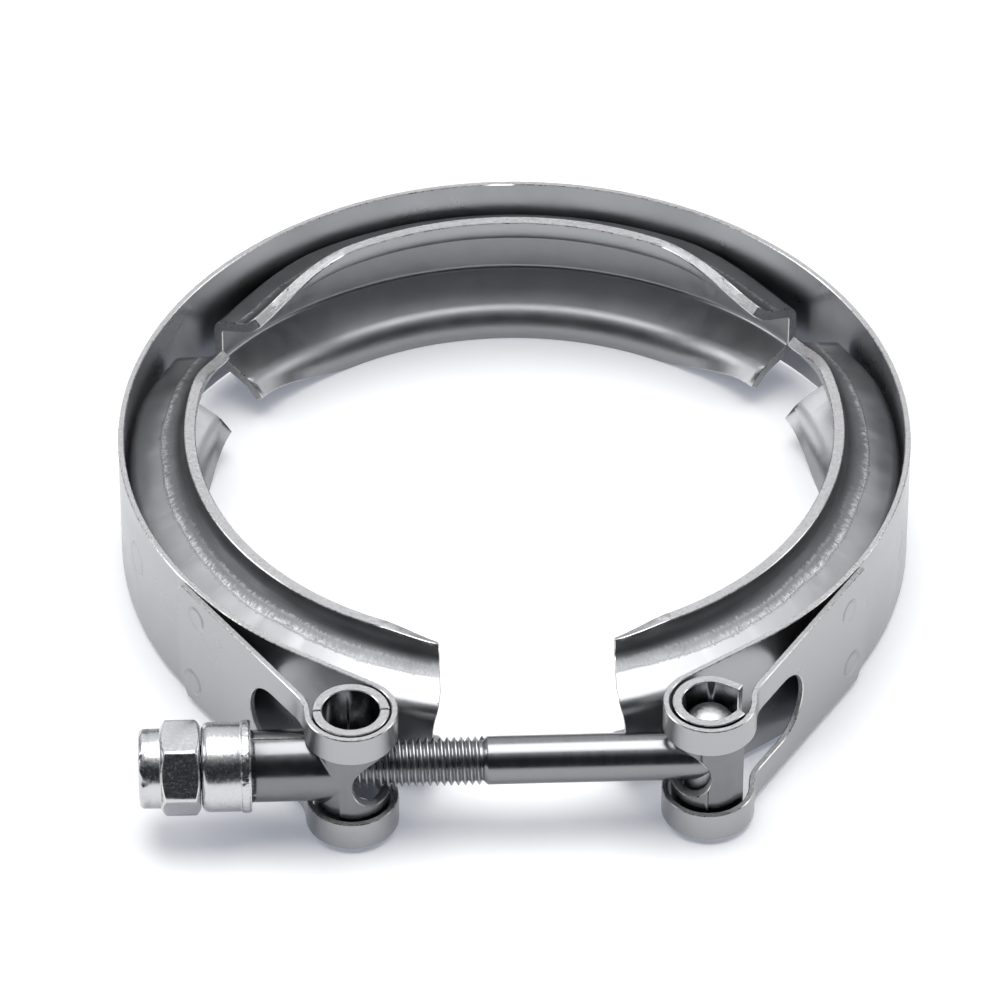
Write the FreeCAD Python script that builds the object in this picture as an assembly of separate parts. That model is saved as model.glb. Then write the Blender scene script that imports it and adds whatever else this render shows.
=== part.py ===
import FreeCAD, Part
import math
import os

# V-band clamp with a T-bolt, lying flat.
# The frame's origin is the ring's centre at half height. +Z runs along the ring's axis.
# The opening and the T-bolt are at the front, on the -Y side, and the nut is on the left, at -X.
# All sizes are in millimetres and all angles in degrees.

Vec = FreeCAD.Vector
UP = Vec(0, 0, 1)
REAR = 90
FRONT = -90
ALONG_BOLT = Vec(1, 0, 0)

# Outer strap, one stainless strip with both ends folded back round the trunnions
strap_outer_radius = 53.2
strap_thickness = 0.8
strap_width = 19.05
tab_angle = -34.0
tab_past_contact = 1.2
tab_gap = 0.05
tab_lower_corner = (1.7, 2.6)
tab_upper_corner = (0.8, 1.2)
loop_inner_radius = 5.3
loop_exit_radius = 6.0
slot_height = 10.6
slot_end_from_contact = 15.3
slot_lead_on_inner_layer = 3.5
weld_nugget_radius = 2.7
weld_nugget_height = 5.3
weld_nugget_from_contact = 2.8

# Trunnions, two upright tubes that the strap's loops hold
trunnion_half_spacing = 23.2
trunnion_beyond_ring = 1.7
trunnion_height = 19.0
nut_tube_radius = 5.0
nut_tube_wall = 1.25
bolt_tube_radius = 4.85
bolt_tube_wall = 1.25
bolt_tube_half_open_angle = 53.0
bolt_tube_turn_angle = 5.0
bolt_tube_front_lip = 1.6
bolt_tube_rear_lip = 2.2
notch_height = 7.5
notch_round_centre = 3.7

# Neck of the nut-side trunnion and its ferrule
neck_radius = 4.7
neck_wall = 1.15
neck_fillet = 0.7
shell_seam = 0.12
ferrule_radius = 5.85
ferrule_length = 6.4
ferrule_end_wall = 1.0
ferrule_edge_radius = 1.1
ferrule_to_neck = 0.03
ferrule_hole_clearance = 0.25
bead_radius = 6.05
bead_width = 1.25
bead_rounding = 0.35
ferrule_from_trunnion = 13.1

# T-bolt, 1/4 inch with 28 threads an inch
thread_radius = 3.175
thread_end_chamfer = 0.7
t_head_radius = 3.175
t_head_half_height = 6.2
t_head_dome = 1.1
bolt_short_of_nut = 0.6

# Lock nut for the same thread, with a round crimped collar
nut_across_flats = 11.11
nut_hex_length = 5.1
nut_collar_radius = 5.2
nut_collar_length = 2.9
nut_collar_rounding = 0.8
nut_bore_clearance = 0.05
nut_corner_drop = 0.55
nut_to_ferrule = 0.1

# Retainers, three rolled channels of V section that squeeze the pipe flanges together
sheet = 1.5
channel_depth = 9.6
lip_height = 10.36
web_half_flat = 3.3
flank_angle = 22.0
web_bend_radius = 1.45
lip_bend_radius = 3.35
side_web_gap = 0.3
rear_web_gap = 0.25
side_front_cut = 11.4
side_front_angle = 26.0
side_front_notch_radius = 16.0
side_front_notch_depth = 1.1
side_rear_angle = 117.5
rear_half_angle = 52.0

# The channel closes towards its ends, where the web is narrower and the lip turns up less
end_web_half_flat = 1.9
end_lip_angle = 25.0
end_lip_length = 1.8
side_end_web_shift = 0.3
rear_end_web_shift = 1.1
rear_skew_angle = 10.0
side_forming_angle = 15.0
front_forming_angle = 14.0
rear_forming_angle = 23.0
forming_steps = 5

# Sizes worked out from the ones above
strap_mid_radius = strap_outer_radius - strap_thickness / 2
strap_inner_radius = strap_outer_radius - strap_thickness
lip_inner_radius = strap_inner_radius - channel_depth
trunnion_reach = strap_outer_radius + trunnion_beyond_ring
tab_mid_radius = strap_mid_radius + strap_thickness + tab_gap
loop_mid_radius = loop_inner_radius + strap_thickness / 2
bolt_y = -trunnion_reach
nut_axis = Vec(-trunnion_half_spacing, bolt_y, 0)
bolt_axis = Vec(trunnion_half_spacing, bolt_y, 0)
ferrule_right = nut_axis.x - ferrule_from_trunnion
ferrule_left = ferrule_right - ferrule_length
nut_right = ferrule_left - nut_to_ferrule
nut_left = nut_right - nut_hex_length - nut_collar_length
far = 3 * strap_outer_radius


def cos(degrees):
    return math.cos(math.radians(degrees))


def sin(degrees):
    return math.sin(math.radians(degrees))


def polar(radius, degrees, z=0.0):
    return Vec(radius * cos(degrees), radius * sin(degrees), z)


def run_edges(start, heading, moves, offset):
    """Edges of a tangent run of lines and arcs, shifted to the left of its heading by offset.

    A move is ("line", length) or ("arc", radius, turn), and a positive turn goes left.
    """
    edges = []
    point = start + polar(offset, heading + 90)
    for move in moves:
        if move[0] == "line":
            end = point + polar(move[1], heading)
            edges.append(Part.LineSegment(point, end).toShape())
        else:
            side = 1 if move[2] > 0 else -1
            radius = move[1] - side * offset
            centre = point + polar(radius, heading + side * 90)
            middle = centre + polar(radius, heading - side * 90 + move[2] / 2)
            end = centre + polar(radius, heading - side * 90 + move[2])
            edges.append(Part.Arc(point, middle, end).toShape())
            heading += move[2]
        point = end
    return edges


def run_end(start, heading, moves):
    """Last point and heading of a run."""
    for move in moves:
        if move[0] == "line":
            start = start + polar(move[1], heading)
        else:
            side = 1 if move[2] > 0 else -1
            centre = start + polar(move[1], heading + side * 90)
            start = centre + polar(move[1], heading - side * 90 + move[2])
            heading += move[2]
    return start, heading


def strip_wire(start, heading, moves, thickness):
    """Closed outline of a bent strip whose middle line is the run."""
    left = run_edges(start, heading, moves, thickness / 2)
    right = run_edges(start, heading, moves, -thickness / 2)
    first_cap = Part.LineSegment(right[0].Vertexes[0].Point, left[0].Vertexes[0].Point).toShape()
    last_cap = Part.LineSegment(left[-1].Vertexes[-1].Point, right[-1].Vertexes[-1].Point).toShape()
    return Part.Wire(Part.__sortEdges__([first_cap] + left + [last_cap] + right))


def mirrored(shape):
    """The same shape on the other side of the YZ plane."""
    return shape.mirror(Vec(0, 0, 0), ALONG_BOLT)


def strap_moves():
    """The strap's middle line from the rear of the ring to the right-hand tab's end."""
    reach = math.hypot(trunnion_half_spacing, trunnion_reach)
    towards_trunnion = -math.degrees(math.atan2(trunnion_reach, trunnion_half_spacing))
    touching = strap_mid_radius + loop_mid_radius
    leaves_ring = towards_trunnion + math.degrees(math.acos(touching / reach))
    crossing = math.sqrt(reach ** 2 - touching ** 2)
    across = Vec(trunnion_half_spacing, -trunnion_reach, 0)
    outwards = tab_mid_radius - across.dot(polar(1, tab_angle)) + loop_exit_radius
    along = math.sqrt((loop_mid_radius + loop_exit_radius) ** 2 - outwards ** 2)
    leaves_loop = tab_angle + math.degrees(math.atan2(along, outwards))
    tab_start = across.dot(polar(1, tab_angle + 90)) + along
    return [
        ("arc", strap_mid_radius, leaves_ring - 90),
        ("line", crossing),
        ("arc", loop_mid_radius, 180 + leaves_loop - leaves_ring),
        ("arc", loop_exit_radius, tab_angle - leaves_loop),
        ("line", tab_past_contact - tab_start),
    ]


def strap_half():
    """The right half of the strap, with its slot, its tab's cut corners and the weld nuggets."""
    rear = Vec(0, strap_mid_radius, -strap_width / 2)
    moves = strap_moves()
    body = Part.Face(strip_wire(rear, 0, moves, strap_thickness)).extrude(UP * strap_width)

    outward = polar(1, tab_angle)
    along_tab = polar(1, tab_angle + 90)
    on_tab = outward * tab_mid_radius
    slot_end = on_tab - along_tab * (slot_end_from_contact + slot_height / 2)

    # The slot follows the strap round the loop, so its cutter is a thicker strip on the same run
    cutter_thickness = 3 * strap_thickness
    before_loop, heading = run_end(Vec(0, strap_mid_radius, 0), 0, moves[:2])
    slot_start = before_loop - polar(slot_lead_on_inner_layer, heading)
    exit_point, exit_heading = run_end(before_loop, heading, moves[2:4])
    slot_moves = [("line", slot_lead_on_inner_layer), moves[2], moves[3], ("line", (slot_end - exit_point).Length)]
    low = Vec(0, 0, -slot_height / 2)
    slot = Part.Face(strip_wire(slot_start + low, heading, slot_moves, cutter_thickness))
    body = body.cut(slot.extrude(UP * slot_height))
    for point, normal in ((slot_end, exit_heading - 90), (slot_start, heading + 90)):
        across_strip = polar(1, normal)
        foot = point - across_strip * (cutter_thickness / 2)
        body = body.cut(Part.makeCylinder(slot_height / 2, cutter_thickness, foot, across_strip))

    tab_end = on_tab + along_tab * tab_past_contact
    for side, (cut_along, cut_up) in ((1, tab_upper_corner), (-1, tab_lower_corner)):
        corner = tab_end + UP * (side * strap_width / 2) - outward * (strap_thickness / 2)
        wedge = Part.makePolygon([
            corner,
            corner - along_tab * cut_along,
            corner - UP * (side * cut_up),
            corner,
        ])
        body = body.cut(Part.Face(wedge).extrude(outward * strap_thickness))
        weld_foot = on_tab - outward * strap_thickness - along_tab * weld_nugget_from_contact
        weld_foot = weld_foot + UP * (side * weld_nugget_height)
        nugget = Part.makeCylinder(weld_nugget_radius, strap_thickness, weld_foot, outward)
        body = body.fuse(nugget)
    return body


def make_outer_band():
    right = strap_half()
    return right.fuse(mirrored(right)).removeSplitter()


def channel_section(web_radius, end_shift, end_half_flat, angle, formed):
    """Outline of the channel in a radial plane, from 0 (the end's form) to 1 (fully formed)."""

    def between(at_end, at_full):
        return at_end + (at_full - at_end) * formed

    middle_radius = between(web_radius - end_shift, web_radius) - sheet / 2
    half_flat = between(end_half_flat, web_half_flat)
    lip_turn = between(end_lip_angle, 90 - flank_angle)
    tip_slope = flank_angle + lip_turn
    full_rise = full_flank_rise(web_radius - sheet / 2)
    lip_length = between(end_lip_length, lip_height - full_rise)
    flank = flank_length(middle_radius, tip_slope, lip_length)
    upper = [
        ("arc", web_bend_radius, 90 - flank_angle),
        ("line", flank),
        ("arc", lip_bend_radius, -lip_turn),
        ("line", lip_length),
    ]
    moves = list(reversed(upper)) + [("line", 2 * half_flat)] + upper
    tip = run_end(Vec(middle_radius, half_flat, 0), 90, upper)[0]
    wire = strip_wire(Vec(tip.x, -tip.y, 0), tip_slope, moves, sheet)
    wire.rotate(Vec(0, 0, 0), ALONG_BOLT, 90)
    wire.rotate(Vec(0, 0, 0), UP, angle)
    return wire


def flank_length(middle_radius, tip_slope, lip_length):
    """Straight part of the flank that brings the tip's inner edge to the lip's inner radius."""
    depth = middle_radius - lip_inner_radius - sheet / 2 * sin(tip_slope)
    depth -= web_bend_radius * (1 - sin(flank_angle))
    depth -= lip_bend_radius * (sin(tip_slope) - sin(flank_angle))
    return (depth - lip_length * cos(tip_slope)) / cos(flank_angle)


def full_flank_rise(middle_radius):
    """Height at which the fully formed lip's straight part starts."""
    bends = (web_bend_radius + lip_bend_radius) * cos(flank_angle)
    return web_half_flat + bends + flank_length(middle_radius, 90, 0) * sin(flank_angle)


def channel_end(web_radius, end_shift, end_half_flat, start, span):
    """The stretch of a channel from the angle start, over span, that closes towards its end."""
    wires = []
    for step in range(forming_steps + 1):
        share = step / forming_steps
        formed = 1 - share * share * (3 - 2 * share)
        wires.append(channel_section(web_radius, end_shift, end_half_flat, start + span * share, formed))
    return Part.makeLoft(wires, True, False)


def channel(web_radius, first, last):
    """A fully formed channel between two angles."""
    section = Part.Face(channel_section(web_radius, 0, web_half_flat, first, 1))
    return section.revolve(Vec(0, 0, 0), UP, last - first)


def make_rear_retainer():
    """The rear channel, whose two ends curl inwards a little and are cut askew."""
    web_radius = strap_inner_radius - rear_web_gap
    full_half = rear_half_angle - rear_forming_angle
    solid = channel(web_radius, REAR - full_half, REAR + full_half)
    end = channel_end(web_radius, rear_end_web_shift, end_web_half_flat, REAR - full_half, -rear_forming_angle)
    corner = polar(web_radius, REAR - rear_half_angle)
    blade = Part.makeBox(far, far, far, Vec(-far / 2, -far, -far / 2))
    blade.rotate(Vec(0, 0, 0), UP, REAR - rear_half_angle + rear_skew_angle)
    blade.translate(corner)
    end = end.cut(blade)
    return solid.fuse([end, mirrored(end)])


def make_right_retainer():
    """A side channel, cut square to the bolt at the clamp's opening, with a shallow notch in its web."""
    web_radius = strap_inner_radius - side_web_gap
    full_from = FRONT + side_front_angle
    full_to = FRONT + side_rear_angle - side_forming_angle
    front = channel_end(web_radius, 0, web_half_flat, full_from, -front_forming_angle)
    rear = channel_end(web_radius, side_end_web_shift, end_web_half_flat, full_to, side_forming_angle)
    beyond = Part.makeBox(far, far, far, Vec(side_front_cut - far, -far, -far / 2))
    notch_x = side_front_cut + side_front_notch_depth - side_front_notch_radius
    web_notch = Part.makeCylinder(side_front_notch_radius, far, Vec(notch_x, 0, 0), Vec(0, -1, 0))
    front = front.cut([beyond, web_notch])
    return channel(web_radius, full_from, full_to).fuse([front, rear])


def notch(axis, side):
    """Round-ended slot, seen from the front, that lets the bolt through one side of a trunnion."""
    centre = axis + ALONG_BOLT * (side * notch_round_centre)
    round_end = Part.makeCylinder(notch_height / 2, far, centre - Vec(0, far / 2, 0), Vec(0, 1, 0))
    block = Part.makeBox(far, far, notch_height, Vec(0, -far / 2, -notch_height / 2))
    if side < 0:
        block.translate(Vec(-far, 0, 0))
    block.translate(centre)
    return round_end.fuse(block)


def make_nut_trunnion():
    """The nut-side trunnion as one body, before it is parted into its two stamped shells."""
    foot = nut_axis - UP * (trunnion_height / 2)
    neck_end = ferrule_left + ferrule_end_wall + ferrule_to_neck
    neck_length = nut_axis.x - neck_end
    neck_start = Vec(neck_end, bolt_y, 0)
    body = Part.makeCylinder(nut_tube_radius, trunnion_height, foot, UP)
    body = body.fuse(Part.makeCylinder(neck_radius, neck_length, neck_start, ALONG_BOLT))
    creases = [
        edge for edge in body.Edges
        if edge.Curve.TypeId not in ("Part::GeomLine", "Part::GeomCircle")
        and edge.BoundBox.XMax < nut_axis.x
    ]
    body = body.makeFillet(neck_fillet, creases)
    body = body.cut(Part.makeCylinder(nut_tube_radius - nut_tube_wall, trunnion_height, foot, UP))
    body = body.cut(Part.makeCylinder(neck_radius - neck_wall, neck_length, neck_start, ALONG_BOLT))
    return body.cut(notch(nut_axis, 1))


def trunnion_half(side):
    """The shell on the rear (side 1) or on the front (side -1) of the seam."""
    keep = Part.makeBox(far, far, far, Vec(-far / 2, shell_seam / 2, -far / 2))
    if side < 0:
        keep = keep.mirror(Vec(0, 0, 0), Vec(0, 1, 0))
    keep.translate(Vec(0, bolt_y, 0))
    return make_nut_trunnion().common(keep)


def make_bolt_trunnion():
    """A strip rolled to a C, open on the side away from the bolt, with two straight lips."""
    middle_radius = bolt_tube_radius - bolt_tube_wall / 2
    first = bolt_tube_turn_angle - bolt_tube_half_open_angle
    turn = 2 * bolt_tube_half_open_angle - 360
    start = bolt_axis - UP * (trunnion_height / 2) + polar(middle_radius, first)
    start = start + polar(bolt_tube_front_lip, first + 90)
    moves = [("line", bolt_tube_front_lip), ("arc", middle_radius, turn), ("line", bolt_tube_rear_lip)]
    outline = strip_wire(start, first - 90, moves, bolt_tube_wall)
    return Part.Face(outline).extrude(UP * trunnion_height).cut(notch(bolt_axis, -1))


def make_ferrule():
    start = Vec(ferrule_left, bolt_y, 0)
    body = Part.makeCylinder(ferrule_radius, ferrule_length, start, ALONG_BOLT)
    rim = [edge for edge in body.Edges if abs(edge.BoundBox.XMax - ferrule_left) < bead_rounding]
    body = body.makeFillet(ferrule_edge_radius, rim)
    bead_start = Vec(ferrule_right - bead_width, bolt_y, 0)
    bead = Part.makeCylinder(bead_radius, bead_width, bead_start, ALONG_BOLT)
    bead = bead.makeFillet(bead_rounding, [edge for edge in bead.Edges if edge.Curve.TypeId == "Part::GeomCircle"])
    body = body.fuse(bead)
    pocket = Vec(ferrule_left + ferrule_end_wall, bolt_y, 0)
    body = body.cut(Part.makeCylinder(neck_radius + ferrule_to_neck, ferrule_length, pocket, ALONG_BOLT))
    return body.cut(Part.makeCylinder(thread_radius + ferrule_hole_clearance, ferrule_length, start, ALONG_BOLT))


def make_lock_nut():
    """Hexagon with both ends' corners turned off, and the collar on its outer end."""
    corner_radius = nut_across_flats / 2 / cos(30)
    hex_left = nut_right - nut_hex_length
    corners = [Vec(hex_left, bolt_y, 0) + Vec(0, corner_radius * cos(a), corner_radius * sin(a))
               for a in range(0, 361, 60)]
    hexagon = Part.Face(Part.makePolygon(corners)).extrude(ALONG_BOLT * nut_hex_length)
    face_radius = nut_across_flats / 2 * 0.97
    slope_end = face_radius + nut_corner_drop / math.tan(math.radians(30))
    turned = [
        Vec(hex_left, 0, 0),
        Vec(hex_left, face_radius, 0),
        Vec(hex_left + nut_corner_drop, slope_end, 0),
        Vec(nut_right - nut_corner_drop, slope_end, 0),
        Vec(nut_right, face_radius, 0),
        Vec(nut_right, 0, 0),
        Vec(hex_left, 0, 0),
    ]
    envelope = Part.Face(Part.makePolygon(turned)).revolve(Vec(0, 0, 0), ALONG_BOLT, 360)
    envelope.translate(Vec(0, bolt_y, 0))
    body = hexagon.common(envelope)
    collar = Part.makeCylinder(nut_collar_radius, nut_collar_length, Vec(nut_left, bolt_y, 0), ALONG_BOLT)
    outer = [edge for edge in collar.Edges if abs(edge.BoundBox.XMax - nut_left) < nut_bore_clearance]
    body = body.fuse(collar.makeFillet(nut_collar_rounding, outer))
    bore = Part.makeCylinder(thread_radius + nut_bore_clearance, nut_right - nut_left,
                             Vec(nut_left, bolt_y, 0), ALONG_BOLT)
    return body.cut(bore)


def make_t_bolt():
    bolt_end = nut_left + bolt_short_of_nut
    shank = Part.makeCylinder(thread_radius, bolt_axis.x - bolt_end, Vec(bolt_end, bolt_y, 0), ALONG_BOLT)
    tip = [edge for edge in shank.Edges if abs(edge.BoundBox.XMax - bolt_end) < thread_end_chamfer]
    shank = shank.makeChamfer(thread_end_chamfer, tip)
    head_foot = bolt_axis - UP * t_head_half_height
    head = Part.makeCylinder(t_head_radius, 2 * t_head_half_height, head_foot, UP)
    rims = [edge for edge in head.Edges if edge.Curve.TypeId == "Part::GeomCircle"]
    return shank.fuse(head.makeFillet(t_head_dome, rims)).removeSplitter()


def build():
    right_retainer = make_right_retainer()
    return {
        "outer_band": make_outer_band(),
        "retainer_rear": make_rear_retainer(),
        "retainer_right": right_retainer,
        "retainer_left": mirrored(right_retainer),
        "nut_trunnion_front": trunnion_half(-1),
        "nut_trunnion_rear": trunnion_half(1),
        "neck_ferrule": make_ferrule(),
        "lock_nut": make_lock_nut(),
        "t_bolt": make_t_bolt(),
        "bolt_trunnion": make_bolt_trunnion(),
    }


os.makedirs("parts", exist_ok=True)
for node, shape in build().items():
    print(node, "solids", len(shape.Solids), "valid", shape.isValid(), "volume", round(shape.Volume, 1))
    shape.exportStep("parts/" + node + ".step")
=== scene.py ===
import bmesh
import bpy
import math
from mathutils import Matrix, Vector


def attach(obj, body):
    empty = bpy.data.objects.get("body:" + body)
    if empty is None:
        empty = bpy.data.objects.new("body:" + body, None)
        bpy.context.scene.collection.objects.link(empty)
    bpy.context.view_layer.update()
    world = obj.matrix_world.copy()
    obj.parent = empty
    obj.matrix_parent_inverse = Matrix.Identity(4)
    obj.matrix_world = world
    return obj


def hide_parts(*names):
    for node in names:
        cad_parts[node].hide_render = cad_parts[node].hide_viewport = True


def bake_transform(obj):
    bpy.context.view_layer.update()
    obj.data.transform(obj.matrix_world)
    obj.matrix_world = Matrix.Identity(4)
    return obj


# V-band clamp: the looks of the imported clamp, in its frame. The ring's axis is +Z, the opening and the
# T-bolt are at -Y, and the lock nut is at -X. Sizes are written in millimetres, and MM makes them metres.

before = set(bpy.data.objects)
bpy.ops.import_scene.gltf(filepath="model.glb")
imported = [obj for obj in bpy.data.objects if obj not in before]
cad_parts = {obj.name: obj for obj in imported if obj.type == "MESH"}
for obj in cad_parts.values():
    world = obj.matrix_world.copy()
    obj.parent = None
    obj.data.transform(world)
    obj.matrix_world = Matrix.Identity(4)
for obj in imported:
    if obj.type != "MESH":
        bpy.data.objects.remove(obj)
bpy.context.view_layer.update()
MM = 0.001

RING_RADIUS = 53.2
STRAP_INNER_RADIUS = 52.4
BOLT_Y = -54.9
TRUNNION_X = 23.2
FLOOR_Z = -10.36

# Sheared edges and the nut's corners turn by more than HARD_EDGE, and bends by less from facet to facet.
# Facets that turn by less than FLAT are one face.
HARD_EDGE = math.radians(38)
FLAT = math.radians(0.5)
MERGE_DISTANCE = 0.001 * MM

# A Mix node's sockets for colours have numbers here, because its other sockets have the same names
COLOUR_A = 6
COLOUR_B = 7
MIXED_COLOUR = 2


def linear(hex_colour):
    """An sRGB hex colour as the linear colour that a shader socket takes."""
    channels = [int(hex_colour[i:i + 2], 16) / 255 for i in (1, 3, 5)]
    return [c / 12.92 if c <= 0.04045 else ((c + 0.055) / 1.055) ** 2.4 for c in channels] + [1.0]


def add(tree, kind, inputs, **settings):
    """Adds a node with its settings, and fills its inputs with values, nodes or sockets."""
    node = tree.nodes.new("ShaderNode" + kind)
    for name, value in settings.items():
        setattr(node, name, value)
    for name, value in inputs.items():
        if isinstance(value, bpy.types.Node):
            value = value.outputs[0]
        if isinstance(value, bpy.types.NodeSocket):
            tree.links.new(value, node.inputs[name])
        else:
            node.inputs[name].default_value = value
    return node


def blank_material(name):
    material = bpy.data.materials.new(name)
    material.use_nodes = True
    material.node_tree.nodes.clear()
    return material, material.node_tree


def bare_metal(name):
    """A material with an empty tree. Returns it, its tree and the place on the object in millimetres."""
    material, tree = blank_material(name)
    place = add(tree, "TexCoord", {}).outputs["Object"]
    return material, tree, add(tree, "VectorMath", {0: place, 1: (1 / MM,) * 3}, operation="MULTIPLY")


def close_metal(tree, colour, roughness, relief):
    """The metal's surface, where relief is a height in millimetres."""
    bump = add(tree, "Bump", {"Height": relief, "Strength": 1.0, "Distance": MM})
    surface = add(tree, "BsdfPrincipled",
                  {"Base Color": colour, "Metallic": 1.0, "Roughness": roughness, "Normal": bump})
    add(tree, "OutputMaterial", {"Surface": surface})


def mottled_metal(name, noise, dark, pale, roughness, height, spread=(0.3, 0.7)):
    """A metal whose colour, roughness and relief follow one noise, most of which lies within the spread."""
    material, tree, place = bare_metal(name)
    mottle = add(tree, "TexNoise", {"Vector": place, **noise})
    colour = add(tree, "Mix", {"Factor": mottle, COLOUR_A: linear(dark), COLOUR_B: linear(pale)},
                 data_type="RGBA")
    dulled = add(tree, "MapRange", {"Value": mottle, "From Min": spread[0], "From Max": spread[1],
                                    "To Min": roughness[0], "To Max": roughness[1]})
    relief = add(tree, "Math", {0: mottle, 1: height}, operation="MULTIPLY")
    close_metal(tree, colour.outputs[MIXED_COLOUR], dulled, relief)
    return material


# Cold-rolled stainless strip, satin: a soft, even grey with a faint grain along the strip.
# The spot welds show as shallow pressed rounds on the tabs and on the band: (centre, radius).
WELD_MARKS = [
    ((42.89, -33.07, 4.8), 1.75), ((43.54, -32.11, -5.35), 1.95),
    ((-43.06, -32.81, 6.07), 1.75), ((-43.79, -31.73, -6.08), 1.95),
    ((50.85, -15.63, 0.68), 2.3), ((-50.93, -15.38, 1.35), 2.6),
    ((-49.93, 15.89, 1.68), 0.6), ((50.22, 14.94, 2.17), 0.6),
]
WELD_DEPTH = 0.24
WELD_SLOPE_INSIDE, WELD_SLOPE_OUTSIDE = 0.6, 0.2
GRAIN_HEIGHT = 0.0015


def strip_steel():
    material, tree, place = bare_metal("cold_rolled_stainless_strip")
    along = add(tree, "Mapping", {"Vector": place, "Scale": (0.08, 0.08, 1.1)})
    grain = add(tree, "TexNoise", {"Vector": along, "Scale": 1.0, "Detail": 1.0})
    cloud = add(tree, "TexNoise", {"Vector": place, "Scale": 0.1, "Detail": 3.0})
    roughness = add(tree, "MapRange", {"Value": cloud, "From Min": 0.35, "From Max": 0.65,
                                       "To Min": 0.27, "To Max": 0.36})
    colour = add(tree, "Mix", {"Factor": cloud, COLOUR_A: linear("#999A9C"), COLOUR_B: linear("#A8A9AB")},
                 data_type="RGBA")
    relief = add(tree, "Math", {0: grain, 1: GRAIN_HEIGHT}, operation="MULTIPLY")
    for centre, radius in WELD_MARKS:
        away = add(tree, "VectorMath", {0: place, 1: centre}, operation="DISTANCE").outputs["Value"]
        pressed = add(tree, "MapRange", {"Value": away, "From Min": radius - WELD_SLOPE_INSIDE,
                                         "From Max": radius + WELD_SLOPE_OUTSIDE,
                                         "To Min": -WELD_DEPTH, "To Max": 0.0},
                      interpolation_type="SMOOTHSTEP")
        relief = add(tree, "Math", {0: relief, 1: pressed}, operation="ADD")
    close_metal(tree, colour.outputs[MIXED_COLOUR], roughness, relief)
    return material


# Roll-formed stainless sheet, satin: the rollers left a dull rubbed streak round the flank. Its outer side is
# a torn fringe and its inner side a fainter line; both lines are rubbed burnish with a painted highlight and
# painted glints on them. Both sides are set on a ragged radius, which is the true radius with about 1.35 mm
# of noise added.
STREAK_OUTER = 49.0
STREAK_INNER = 47.4
STREAK_MIDDLE = 48.0
FRINGE_WIDTH = 1.1
# Places in Y: the inner line comes in towards the front, and the painted highlight on both lines weakens at
# the opening
LINE_STARTS, LINE_FULL = -8.0, -28.0
OPENING_WEAK, OPENING_FULL = -43.0, -34.0
# Painted shade lies in the hollow of the bend beside the streak, which is also made duller, between these two
# true radii
HOLLOW_INNER, HOLLOW_OUTER = 44.6, 47.2
HOLLOW_BLUR = 0.4


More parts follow.
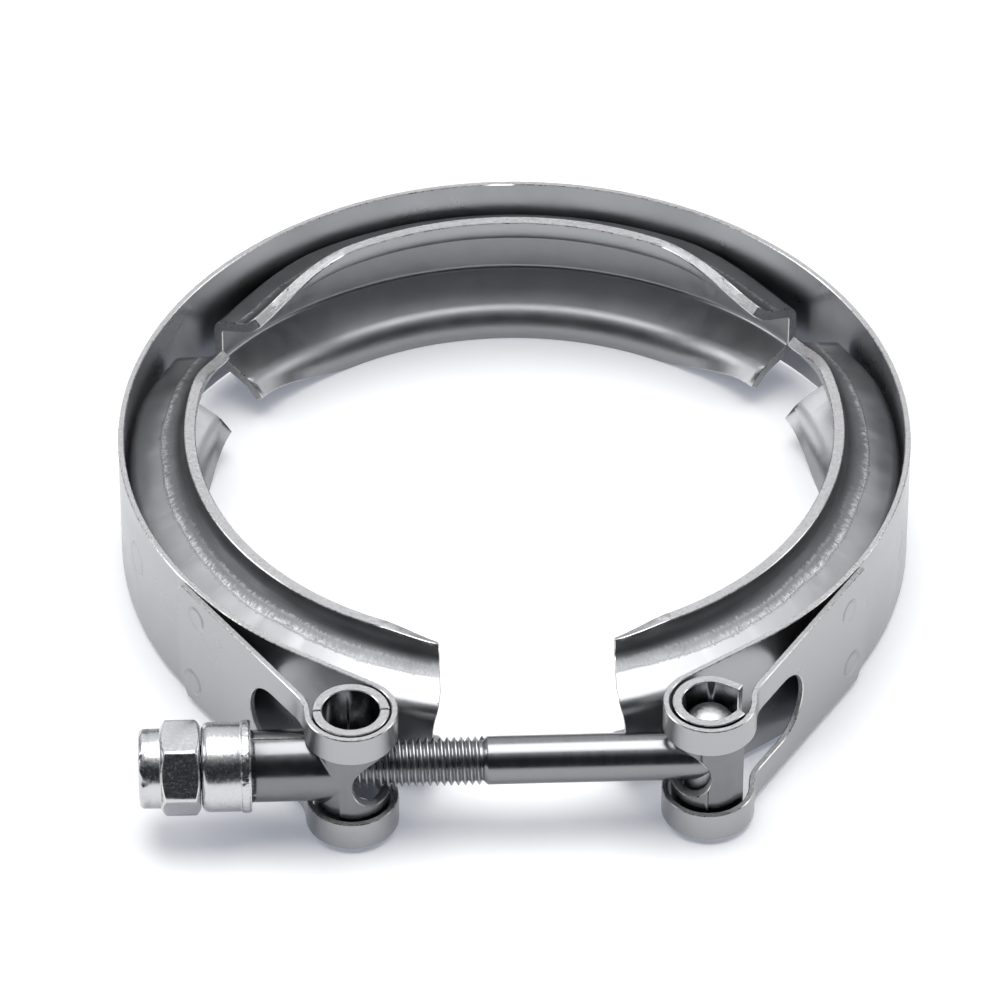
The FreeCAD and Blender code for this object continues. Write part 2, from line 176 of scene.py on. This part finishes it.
def rolled_sheet():
    material, tree, place = bare_metal("roll_formed_stainless_sheet")
    split = add(tree, "SeparateXYZ", {"Vector": place}).outputs
    flat = add(tree, "VectorMath", {0: place, 1: (1, 1, 0)}, operation="MULTIPLY")
    radius = add(tree, "VectorMath", {0: flat}, operation="LENGTH").outputs["Value"]
    slow = add(tree, "TexNoise", {"Vector": place, "Scale": 0.12, "Detail": 2.0})

    # Short strokes across the streak, drawn out along the radius
    angle = add(tree, "Math", {0: split["Y"], 1: split["X"]}, operation="ARCTAN2")
    around = add(tree, "Math", {0: angle, 1: STREAK_MIDDLE}, operation="MULTIPLY")
    outwards = add(tree, "Math", {0: radius, 1: 0.35}, operation="MULTIPLY")
    across = add(tree, "CombineXYZ", {"X": around, "Y": outwards, "Z": split["Z"]})
    strokes = add(tree, "TexNoise", {"Vector": across, "Scale": 2.4, "Detail": 5.0, "Roughness": 0.62})
    ragged = add(tree, "Math", {0: strokes, 1: 1.3, 2: radius}, operation="MULTIPLY_ADD")
    ragged = add(tree, "Math", {0: slow, 1: 1.4, 2: ragged}, operation="MULTIPLY_ADD")

    # The fringe on the streak's outer side, the line on its inner side, and the streak between them
    outer_side = add(tree, "MapRange", {"Value": ragged, "From Min": STREAK_OUTER,
                                        "From Max": STREAK_OUTER - 0.25})
    fading = add(tree, "MapRange", {"Value": ragged, "From Min": STREAK_OUTER - FRINGE_WIDTH,
                                    "From Max": STREAK_OUTER - 0.1}, interpolation_type="SMOOTHSTEP")
    fringe = add(tree, "Math", {0: outer_side, 1: fading}, operation="MULTIPLY")
    from_inner = add(tree, "Math", {0: ragged, 1: STREAK_INNER}, operation="SUBTRACT")
    from_inner = add(tree, "Math", {0: from_inner}, operation="ABSOLUTE")
    inner_line = add(tree, "MapRange", {"Value": from_inner, "From Min": 0.0, "From Max": 0.35,
                                        "To Min": 0.35, "To Max": 0.0}, interpolation_type="SMOOTHSTEP")
    towards_front = add(tree, "MapRange", {"Value": split["Y"], "From Min": LINE_STARTS,
                                           "From Max": LINE_FULL})
    inner_line = add(tree, "Math", {0: inner_line, 1: towards_front}, operation="MULTIPLY")
    lines = add(tree, "Math", {0: fringe, 1: inner_line}, operation="MAXIMUM")
    inner_side = add(tree, "MapRange", {"Value": ragged, "From Min": STREAK_INNER - 0.6,
                                        "From Max": STREAK_INNER + 1.0}, interpolation_type="SMOOTHSTEP")
    rubbed = add(tree, "Math", {0: inner_side, 1: outer_side}, operation="MULTIPLY")

    # Only the outer side of the channel was rubbed: there the normal points away from the middle plane
    facing = add(tree, "SeparateXYZ", {"Vector": add(tree, "TexCoord", {}).outputs["Normal"]})
    outside = add(tree, "Math", {0: split["Z"], 1: facing.outputs["Z"]}, operation="MULTIPLY")
    outside = add(tree, "MapRange", {"Value": outside, "From Min": 0.0, "From Max": 1.0})
    # Painted glints: the brightest specks of the strokes light up the lines
    painted_glints = add(tree, "MapRange", {"Value": strokes, "From Min": 0.34, "From Max": 0.62})
    lines = add(tree, "Math", {0: lines, 1: outside}, operation="MULTIPLY")
    rubbed = add(tree, "Math", {0: rubbed, 1: outside}, operation="MULTIPLY")
    # The bright lines: rubbed burnish with a painted highlight and painted glints on it
    burnish_with_painted_highlight = add(tree, "Math", {0: lines, 1: painted_glints}, operation="MULTIPLY")
    strength = add(tree, "MapRange", {"Value": split["Y"], "From Min": OPENING_WEAK,
                                      "From Max": OPENING_FULL, "To Min": 0.15, "To Max": 0.75})
    burnish_with_painted_highlight = add(tree, "Math", {0: burnish_with_painted_highlight, 1: strength}, operation="MULTIPLY")

    # Painted shade in the hollow of the bend, on the outer side only; the hollow is also made duller below
    within_outer = add(tree, "MapRange", {"Value": radius, "From Min": HOLLOW_OUTER + HOLLOW_BLUR,
                                          "From Max": HOLLOW_OUTER - HOLLOW_BLUR})
    past_inner = add(tree, "MapRange", {"Value": radius, "From Min": HOLLOW_INNER - HOLLOW_BLUR,
                                        "From Max": HOLLOW_INNER + HOLLOW_BLUR})
    hollow_shade_and_dullness = add(tree, "Math", {0: within_outer, 1: past_inner}, operation="MULTIPLY")
    hollow_shade_and_dullness = add(tree, "Math", {0: hollow_shade_and_dullness, 1: outside}, operation="MULTIPLY")

    # The satin, and over it painted shade in the hollow of the bend, the rubbed streak, and the bright lines
    # with their painted highlight
    cloud = add(tree, "TexNoise", {"Vector": place, "Scale": 0.25, "Detail": 4.0})
    colour = add(tree, "Mix", {"Factor": cloud, COLOUR_A: linear("#8F9092"), COLOUR_B: linear("#A2A3A5")},
                 data_type="RGBA").outputs[MIXED_COLOUR]
    for amount, paint in ((hollow_shade_and_dullness, "#606163"), (rubbed, "#7B7C7E"), (burnish_with_painted_highlight, "#CECED0")):
        colour = add(tree, "Mix", {"Factor": amount, COLOUR_A: colour, COLOUR_B: linear(paint)},
                     data_type="RGBA").outputs[MIXED_COLOUR]
    roughness = add(tree, "MapRange", {"Value": cloud, "From Min": 0.3, "From Max": 0.7,
                                       "To Min": 0.33, "To Max": 0.41})
    roughness = add(tree, "Math", {0: burnish_with_painted_highlight, 1: 0.06, 2: roughness}, operation="MULTIPLY_ADD")
    roughness = add(tree, "Math", {0: hollow_shade_and_dullness, 1: 0.1, 2: roughness}, operation="MULTIPLY_ADD")
    fine = add(tree, "TexNoise", {"Vector": place, "Scale": 3.5, "Detail": 2.0})
    scratched = add(tree, "Math", {0: strokes, 1: rubbed}, operation="MULTIPLY")
    relief = add(tree, "Math", {0: fine, 1: 0.006}, operation="MULTIPLY")
    relief = add(tree, "Math", {0: scratched, 1: 0.03, 2: relief}, operation="MULTIPLY_ADD")
    relief = add(tree, "Math", {0: burnish_with_painted_highlight, 1: 0.05, 2: relief}, operation="MULTIPLY_ADD")
    close_metal(tree, colour, roughness, relief)
    return material


# Bright turned stainless of the nut and ferrule: fine turning lines round the bolt's axis, dents on the nut's
# collar, to the left of COLLAR_RIGHT, and crimp marks on the ferrule's rim, to the right of RIM_LEFT
RIM_LEFT = -37.6
COLLAR_RIGHT = -49.3


def bright_steel():
    material, tree, place = bare_metal("bright_turned_stainless")
    split = add(tree, "SeparateXYZ", {"Vector": place}).outputs
    drawn = add(tree, "Mapping", {"Vector": place, "Scale": (2.2, 0.3, 0.3)})
    lines = add(tree, "TexNoise", {"Vector": drawn, "Scale": 1.0, "Detail": 1.0})
    pits = add(tree, "TexNoise", {"Vector": place, "Scale": 2.6, "Detail": 3.0})
    rim = add(tree, "MapRange", {"Value": split["X"], "From Min": RIM_LEFT, "From Max": RIM_LEFT + 0.1})
    crimps = add(tree, "TexNoise", {"Vector": place, "Scale": 1.3, "Detail": 1.0})
    crimps = add(tree, "Math", {0: crimps, 1: rim}, operation="MULTIPLY")
    dents = add(tree, "TexNoise", {"Vector": place, "Scale": 0.45, "Detail": 1.0})
    collar = add(tree, "MapRange", {"Value": split["X"], "From Min": COLLAR_RIGHT,
                                    "From Max": COLLAR_RIGHT - 1.0})
    dents = add(tree, "Math", {0: dents, 1: collar}, operation="MULTIPLY")
    colour = add(tree, "Mix", {"Factor": pits, COLOUR_A: linear("#B4B5B7"), COLOUR_B: linear("#C6C7C9")},
                 data_type="RGBA")
    roughness = add(tree, "MapRange", {"Value": pits, "From Min": 0.3, "From Max": 0.7,
                                       "To Min": 0.16, "To Max": 0.29})
    relief = add(tree, "Math", {0: lines, 1: 0.02}, operation="MULTIPLY")
    for marks, height in ((pits, 0.008), (dents, 0.6), (crimps, 0.12)):
        relief = add(tree, "Math", {0: marks, 1: height, 2: relief}, operation="MULTIPLY_ADD")
    close_metal(tree, colour.outputs[MIXED_COLOUR], roughness, relief)
    return material


# Bolt shank, smooth and slightly darker than the strap, with the faintest turning lines
def bolt_steel():
    material, tree, place = bare_metal("smooth_bolt_steel")
    along = add(tree, "Mapping", {"Vector": place, "Scale": (2.5, 0.2, 0.2)})
    lines = add(tree, "TexNoise", {"Vector": along, "Scale": 1.0, "Detail": 2.0})
    roughness = add(tree, "MapRange", {"Value": lines, "From Min": 0.3, "From Max": 0.7,
                                       "To Min": 0.2, "To Max": 0.27})
    colour = add(tree, "Mix", {"Factor": lines, COLOUR_A: linear("#7E7F81"), COLOUR_B: linear("#868789")},
                 data_type="RGBA")
    relief = add(tree, "Math", {0: lines, 1: 0.003}, operation="MULTIPLY")
    close_metal(tree, colour.outputs[MIXED_COLOUR], roughness, relief)
    return material


strip = strip_steel()
sheet = rolled_sheet()

# Sheared edge of the strip and sheet: torn grains throw the light about, so it is pale and sparkles
edge_metal = mottled_metal("sheared_stainless_edge", {"Scale": 2.0, "Detail": 5.0, "Roughness": 0.7},
                           "#7C7C7E", "#C4C4C6", roughness=(0.42, 0.6), height=0.15)

# Thin burr along the sheared edges, which catches the light as a bright line
burr_metal = mottled_metal("bright_burr", {"Scale": 1.6, "Detail": 3.0},
                           "#B5B4B2", "#E6E5E3", roughness=(0.22, 0.4), height=0.03)

# Stamped stainless of the trunnions, drawn smooth by the die: clear reflections with a soft edge
stamped = mottled_metal("stamped_stainless", {"Scale": 0.5, "Detail": 3.0},
                        "#707173", "#7C7D7F", roughness=(0.19, 0.26), height=0.006, spread=(0.35, 0.65))

bright = bright_steel()
bolt_metal = bolt_steel()

# Rolled thread: paler and duller than the shank, and patchy from the oil that stays in its roots
thread_metal = mottled_metal("rolled_thread_steel", {"Scale": 0.9, "Detail": 3.0},
                             "#8C8D8F", "#B0B1B3", roughness=(0.26, 0.36), height=0.004)

# Cold-headed end of the T-bolt, pressed and left dull: a pale, pitted dome
head_metal = mottled_metal("cold_headed_steel", {"Scale": 2.2, "Detail": 4.0},
                           "#8C8D8F", "#B6B7B9", roughness=(0.3, 0.42), height=0.03)


def new_piece(name, bm, *materials):
    mesh = bpy.data.meshes.new(name)
    bm.to_mesh(mesh)
    bm.free()
    for material in materials:
        mesh.materials.append(material)
    piece = bpy.data.objects.new(name, mesh)
    bpy.context.collection.objects.link(piece)
    return piece


def smooth_below(piece, degrees):
    """Smooth shading, with hard edges where two faces meet at more than the angle."""
    for face in piece.data.polygons:
        face.use_smooth = True
    piece.data.set_sharp_from_angle(angle=math.radians(degrees))


# Sheet-metal pieces: copies of the CAD nodes with pale sheared edges and a thin burr along them.
# A piece's materials are its own surface, its sheared edge and its burr.
SHEARED_EDGE = 1
BURR = 2
SHEARED_WIDTH = 1.8
BURR_WIDTH = 0.11
SHEET_CREASE = 30


def sheared_copy(node):
    bm = bmesh.new()
    bm.from_mesh(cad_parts[node].data)
    bmesh.ops.remove_doubles(bm, verts=bm.verts, dist=MERGE_DISTANCE)
    bmesh.ops.dissolve_limit(bm, angle_limit=FLAT, verts=bm.verts, edges=bm.edges)

    # A sheared edge is an island of faces between hard edges that is no wider than the sheet is thick
    seen = set()
    for seed in bm.faces:
        if seed in seen:
            continue
        seen.add(seed)
        island = [seed]
        rim = 0.0
        for face in island:
            for edge in face.edges:
                if edge.calc_face_angle(0) > HARD_EDGE:
                    rim += edge.calc_length()
                    continue
                for other in edge.link_faces:
                    if other not in seen:
                        seen.add(other)
                        island.append(other)
        area = sum(face.calc_area() for face in island)
        if rim and area / rim < SHEARED_WIDTH / 2 * MM:
            for face in island:
                face.material_index = SHEARED_EDGE

    hard = [edge for edge in bm.edges if edge.calc_face_angle(0) > HARD_EDGE]
    made = bmesh.ops.bevel(bm, geom=hard, offset=BURR_WIDTH * MM, offset_type="OFFSET", affect="EDGES",
                           segments=1, profile=0.5, material=-1, clamp_overlap=False, loop_slide=True)
    for face in made["faces"]:
        face.material_index = BURR
    return bm


def dress(node, body, surface, edge):
    piece = new_piece(node + "_dressed", sheared_copy(node), surface, edge, burr_metal)
    smooth_below(piece, SHEET_CREASE)
    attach(piece, body)
    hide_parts(node)


dress("retainer_left", "left_arm", sheet, edge_metal)
dress("retainer_rear", "rear", sheet, edge_metal)
dress("retainer_right", "right_arm", sheet, edge_metal)
dress("nut_trunnion_front", "nut_trunnion", stamped, edge_metal)
dress("nut_trunnion_rear", "nut_trunnion", stamped, edge_metal)
dress("bolt_trunnion", "bolt_trunnion", stamped, edge_metal)
dress("neck_ferrule", "nut_trunnion", bright, bright)
dress("lock_nut", "lock_nut", bright, bright)


# T-bolt: its thread is a ridge swept along a helix round a core
TURNED_STEPS = 96
BOLT_CREASE = 25
PITCH = 0.907
THREAD_RADIUS = 3.175
THREAD_DEPTH = 0.56
ROOT_RADIUS = THREAD_RADIUS - THREAD_DEPTH
THREAD_LEFT = -50.2
THREAD_RIGHT = -5.95
# The core's chamfered point, and its slope up to the shank's rounded shoulder
POINT_LENGTH = 0.3
POINT_CHAMFER = 0.25
SLOPE_HALF_LENGTH = 0.3
SHOULDER_END = 0.5
SHOULDER_DROP = 0.06
# The ridge's foot is sunk in the core, and its crest stays just under the shank's radius. It starts past the
# point, and stops short of the slope by a part of a turn.
STEPS_A_TURN = 40
FOOT_HALF_WIDTH = 0.42
FOOT_SUNK = 0.03
CREST_HALF_WIDTH = 0.06
CREST_DROP = 0.02
RIDGE_START = 0.55
TURNS_SHORT = 0.3
HEAD_RADIUS = 3.175
HEAD_HALF_HEIGHT = 7.8
HEAD_DOME = 2.1


def close_up(bm):
    """Merges a swept shape's doubles and turns its faces outwards."""
    bmesh.ops.remove_doubles(bm, verts=bm.verts, dist=MERGE_DISTANCE)
    bmesh.ops.recalc_face_normals(bm, faces=bm.faces)


def turned(points, centre, axis):
    """A turned shape from points at (distance along the axis, radius)."""
    bm = bmesh.new()
    centre = Vector(centre) * MM
    along = Vector(axis)
    out = Vector((0, 0, 1)) if abs(along.z) < 0.5 else Vector((0, -1, 0))
    vertices = [bm.verts.new(centre + (along * place + out * radius) * MM) for place, radius in points]
    edges = [bm.edges.new(pair) for pair in zip(vertices, vertices[1:])]
    bmesh.ops.spin(bm, geom=vertices + edges, cent=centre, axis=along, angle=math.tau,
                   steps=TURNED_STEPS, use_merge=True)
    close_up(bm)
    return bm


def bolt_shank():
    return turned([
        (THREAD_LEFT, 0.0), (THREAD_LEFT, ROOT_RADIUS - POINT_CHAMFER),
        (THREAD_LEFT + POINT_LENGTH, ROOT_RADIUS), (THREAD_RIGHT - SLOPE_HALF_LENGTH, ROOT_RADIUS),
        (THREAD_RIGHT + SLOPE_HALF_LENGTH, THREAD_RADIUS - SHOULDER_DROP),
        (THREAD_RIGHT + SHOULDER_END, THREAD_RADIUS), (TRUNNION_X, THREAD_RADIUS), (TRUNNION_X, 0.0),
    ], (0, BOLT_Y, 0), (1, 0, 0))


def bolt_head():
    dome = [(HEAD_HALF_HEIGHT - HEAD_DOME + HEAD_DOME * math.sin(math.radians(a)),
             HEAD_RADIUS * math.cos(math.radians(a))) for a in range(0, 81, 8)]
    upper = [(HEAD_HALF_HEIGHT, 0.0)] + dome[::-1]
    lower = [(-z, radius) for z, radius in upper[::-1]]
    return turned(upper + lower, (TRUNNION_X, BOLT_Y, 0), (0, 0, 1))


def bolt_thread():
    start = THREAD_LEFT + RIDGE_START
    foot = ROOT_RADIUS - FOOT_SUNK
    crest = THREAD_RADIUS - CREST_DROP
    ridge = [(-FOOT_HALF_WIDTH, foot), (-CREST_HALF_WIDTH, crest),
             (CREST_HALF_WIDTH, crest), (FOOT_HALF_WIDTH, foot)]
    bm = bmesh.new()
    corners = [bm.verts.new(((start + x) * MM, BOLT_Y * MM, radius * MM)) for x, radius in ridge]
    sides = [bm.edges.new((corners[i], corners[(i + 1) % 4])) for i in range(4)]
    bm.faces.new(corners)
    steps = round(((THREAD_RIGHT - start) / PITCH - TURNS_SHORT) * STEPS_A_TURN)
    swept = bmesh.ops.spin(bm, geom=corners + sides, cent=(0, BOLT_Y * MM, 0), axis=(1, 0, 0),
                           dvec=(PITCH / STEPS_A_TURN * MM, 0, 0), angle=math.tau * steps / STEPS_A_TURN,
                           steps=steps, use_duplicate=False)
    last = [item for item in swept["geom_last"] if isinstance(item, bmesh.types.BMEdge)]
    bmesh.ops.edgenet_fill(bm, edges=last)
    close_up(bm)
    return bm


for name, bm, metal in (("t_bolt_shank", bolt_shank(), bolt_metal), ("t_bolt_head", bolt_head(), head_metal),
                        ("t_bolt_thread", bolt_thread(), thread_metal)):
    piece = new_piece(name, bm, metal)
    smooth_below(piece, BOLT_CREASE)
    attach(piece, "bolt_trunnion")
    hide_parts("t_bolt")


# Strap: two halves, left and right of the ring's middle plane. The real strap bends beside each end of the
# rear retainer as the nut is tightened; that bend lies between two angles, in degrees from the X axis, and
# the mesh is cut across there.
BEND_FROM = 38.0
BEND_TO = 28.0
BEND_CUTS = 5
# A face is one of the ring's walls where it looks along the radius to within about 6 degrees, and its middle
# is no further than this inside the inner cylinder or outside the outer one
ALONG_RADIUS = 0.995
INSIDE_WALL = 0.1
OUTSIDE_WALL = 0.02


def cut_through_axis(bm, across, clear_behind=False):
    """Cuts the mesh along the plane through the ring's axis that is square to the vector."""
    bmesh.ops.bisect_plane(bm, geom=bm.verts[:] + bm.edges[:] + bm.faces[:], plane_co=(0, 0, 0),
                           plane_no=across, clear_inner=clear_behind)


def round_the_walls(mesh):
    """The ring's walls are true cylinders, so their shading is set straight from the ring's axis."""
    nearest = (STRAP_INNER_RADIUS - INSIDE_WALL) * MM
    farthest = (RING_RADIUS + OUTSIDE_WALL) * MM
    normals = [Vector(corner.vector) for corner in mesh.corner_normals]
    for face in mesh.polygons:
        centre = Vector((face.center.x, face.center.y, 0))
        radial = centre.normalized().dot(face.normal)
        if abs(radial) > ALONG_RADIUS and nearest < centre.length < farthest:
            for loop in face.loop_indices:
                corner = mesh.vertices[mesh.loops[loop].vertex_index].co
                normals[loop] = Vector((corner.x, corner.y, 0)).normalized() * math.copysign(1, radial)
    mesh.normals_split_custom_set(normals)


def strap_half(side, name):
    bm = sheared_copy("outer_band")
    cut_through_axis(bm, (side, 0, 0), clear_behind=True)
    bmesh.ops.holes_fill(bm, edges=[edge for edge in bm.edges if edge.is_boundary], sides=0)
    for step in range(BEND_CUTS + 1):
        angle = math.radians(BEND_FROM + (BEND_TO - BEND_FROM) * step / BEND_CUTS)
        cut_through_axis(bm, (-side * math.sin(angle), math.cos(angle), 0))
    piece = new_piece(name, bm, strip, edge_metal, burr_metal)
    smooth_below(piece, SHEET_CREASE)
    round_the_walls(piece.data)
    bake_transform(piece)
    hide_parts("outer_band")


strap_half(-1, "strap_left_half")
strap_half(1, "strap_right_half")


# Floor: white paper, shaded by the clamp. The camera and the metal see it lifted to white.
FLOOR_GAP = 0.02
FLOOR_REACH = 4000.0


def paper_floor():
    material, tree = blank_material("white_paper_sweep")
    paper = add(tree, "BsdfDiffuse", {"Color": linear("#E6E5E2")})
    glow = add(tree, "Emission", {"Color": linear("#D6DDEE"), "Strength": 0.3})
    unlit = add(tree, "Emission", {"Color": linear("#000000"), "Strength": 0.0})
    ray = add(tree, "LightPath", {}).outputs
    seen = add(tree, "Math", {0: ray["Is Camera Ray"], 1: ray["Is Glossy Ray"]}, operation="MAXIMUM")
    seen = add(tree, "Math", {0: seen, 1: ray["Is Transmission Ray"]}, operation="MAXIMUM")
    lift = add(tree, "MixShader", {0: seen, 1: unlit, 2: glow})
    both = add(tree, "AddShader", {0: paper, 1: lift})
    add(tree, "OutputMaterial", {"Surface": both})
    return material


floor_bm = bmesh.new()
bmesh.ops.create_grid(floor_bm, x_segments=1, y_segments=1, size=FLOOR_REACH * MM)
bmesh.ops.translate(floor_bm, vec=(0, 0, FLOOR_Z * MM - FLOOR_GAP * MM), verts=floor_bm.verts)
new_piece("floor", floor_bm, paper_floor())


# World: a studio that is dark behind the camera and pale overhead and at the back
PALE_SIDE = (0.0, 0.5, 0.8)
STUDIO_STRENGTH = 1.4

world = bpy.data.worlds.new("studio")
bpy.context.scene.world = world
world.use_nodes = True
sky = world.node_tree
sky.nodes.clear()
direction = add(sky, "TexCoord", {}).outputs["Generated"]
height = add(sky, "VectorMath", {0: direction, 1: PALE_SIDE}, operation="DOT_PRODUCT").outputs["Value"]
height = add(sky, "MapRange", {"Value": height, "From Min": 0.2, "From Max": 1.0},
             interpolation_type="SMOOTHSTEP")
walls = add(sky, "Mix", {"Factor": height, COLOUR_A: linear("#2A2C30"), COLOUR_B: linear("#F1F1F2")},
            data_type="RGBA")
background = add(sky, "Background", {"Color": walls.outputs[MIXED_COLOUR], "Strength": STUDIO_STRENGTH})
add(sky, "OutputWorld", {"Surface": background})


def softbox(name, place, width, height, power):
    """A softbox that faces the clamp, in metres and watts."""
    light = bpy.data.lights.new(name, "AREA")
    light.shape = "RECTANGLE"
    light.size, light.size_y, light.energy = width, height, power
    lamp = bpy.data.objects.new(name, light)
    lamp.location = place
    lamp.rotation_euler = (-Vector(place)).to_track_quat("-Z", "Y").to_euler()
    bpy.context.collection.objects.link(lamp)


softbox("overhead_softbox", (0.0, 0.1, 0.9), width=0.95, height=0.75, power=8.4)
softbox("left_softbox", (-1.0, 0.1, 0.5), width=0.35, height=0.5, power=2.5)
softbox("right_softbox", (1.0, 0.1, 0.5), width=0.35, height=0.5, power=1.5)


# Camera at the photo's place, in metres, as fitted with the clamp's own sizes
CAMERA_PLACE = (-0.03146, -0.80393, 0.69629)
VIEW_DIRECTION = (0.0277, 0.7542, -0.6561)
LENS = 283.7
SENSOR_WIDTH = 36.0

camera_data = bpy.data.cameras.new("camera")
camera_data.lens = LENS
camera_data.sensor_width = SENSOR_WIDTH
camera_data.clip_start = 0.05
camera = bpy.data.objects.new("camera", camera_data)
camera.location = CAMERA_PLACE
camera.rotation_euler = Vector(VIEW_DIRECTION).to_track_quat("-Z", "Y").to_euler()
bpy.context.collection.objects.link(camera)
bpy.context.scene.camera = camera

bpy.context.scene.view_settings.view_transform = "Standard"
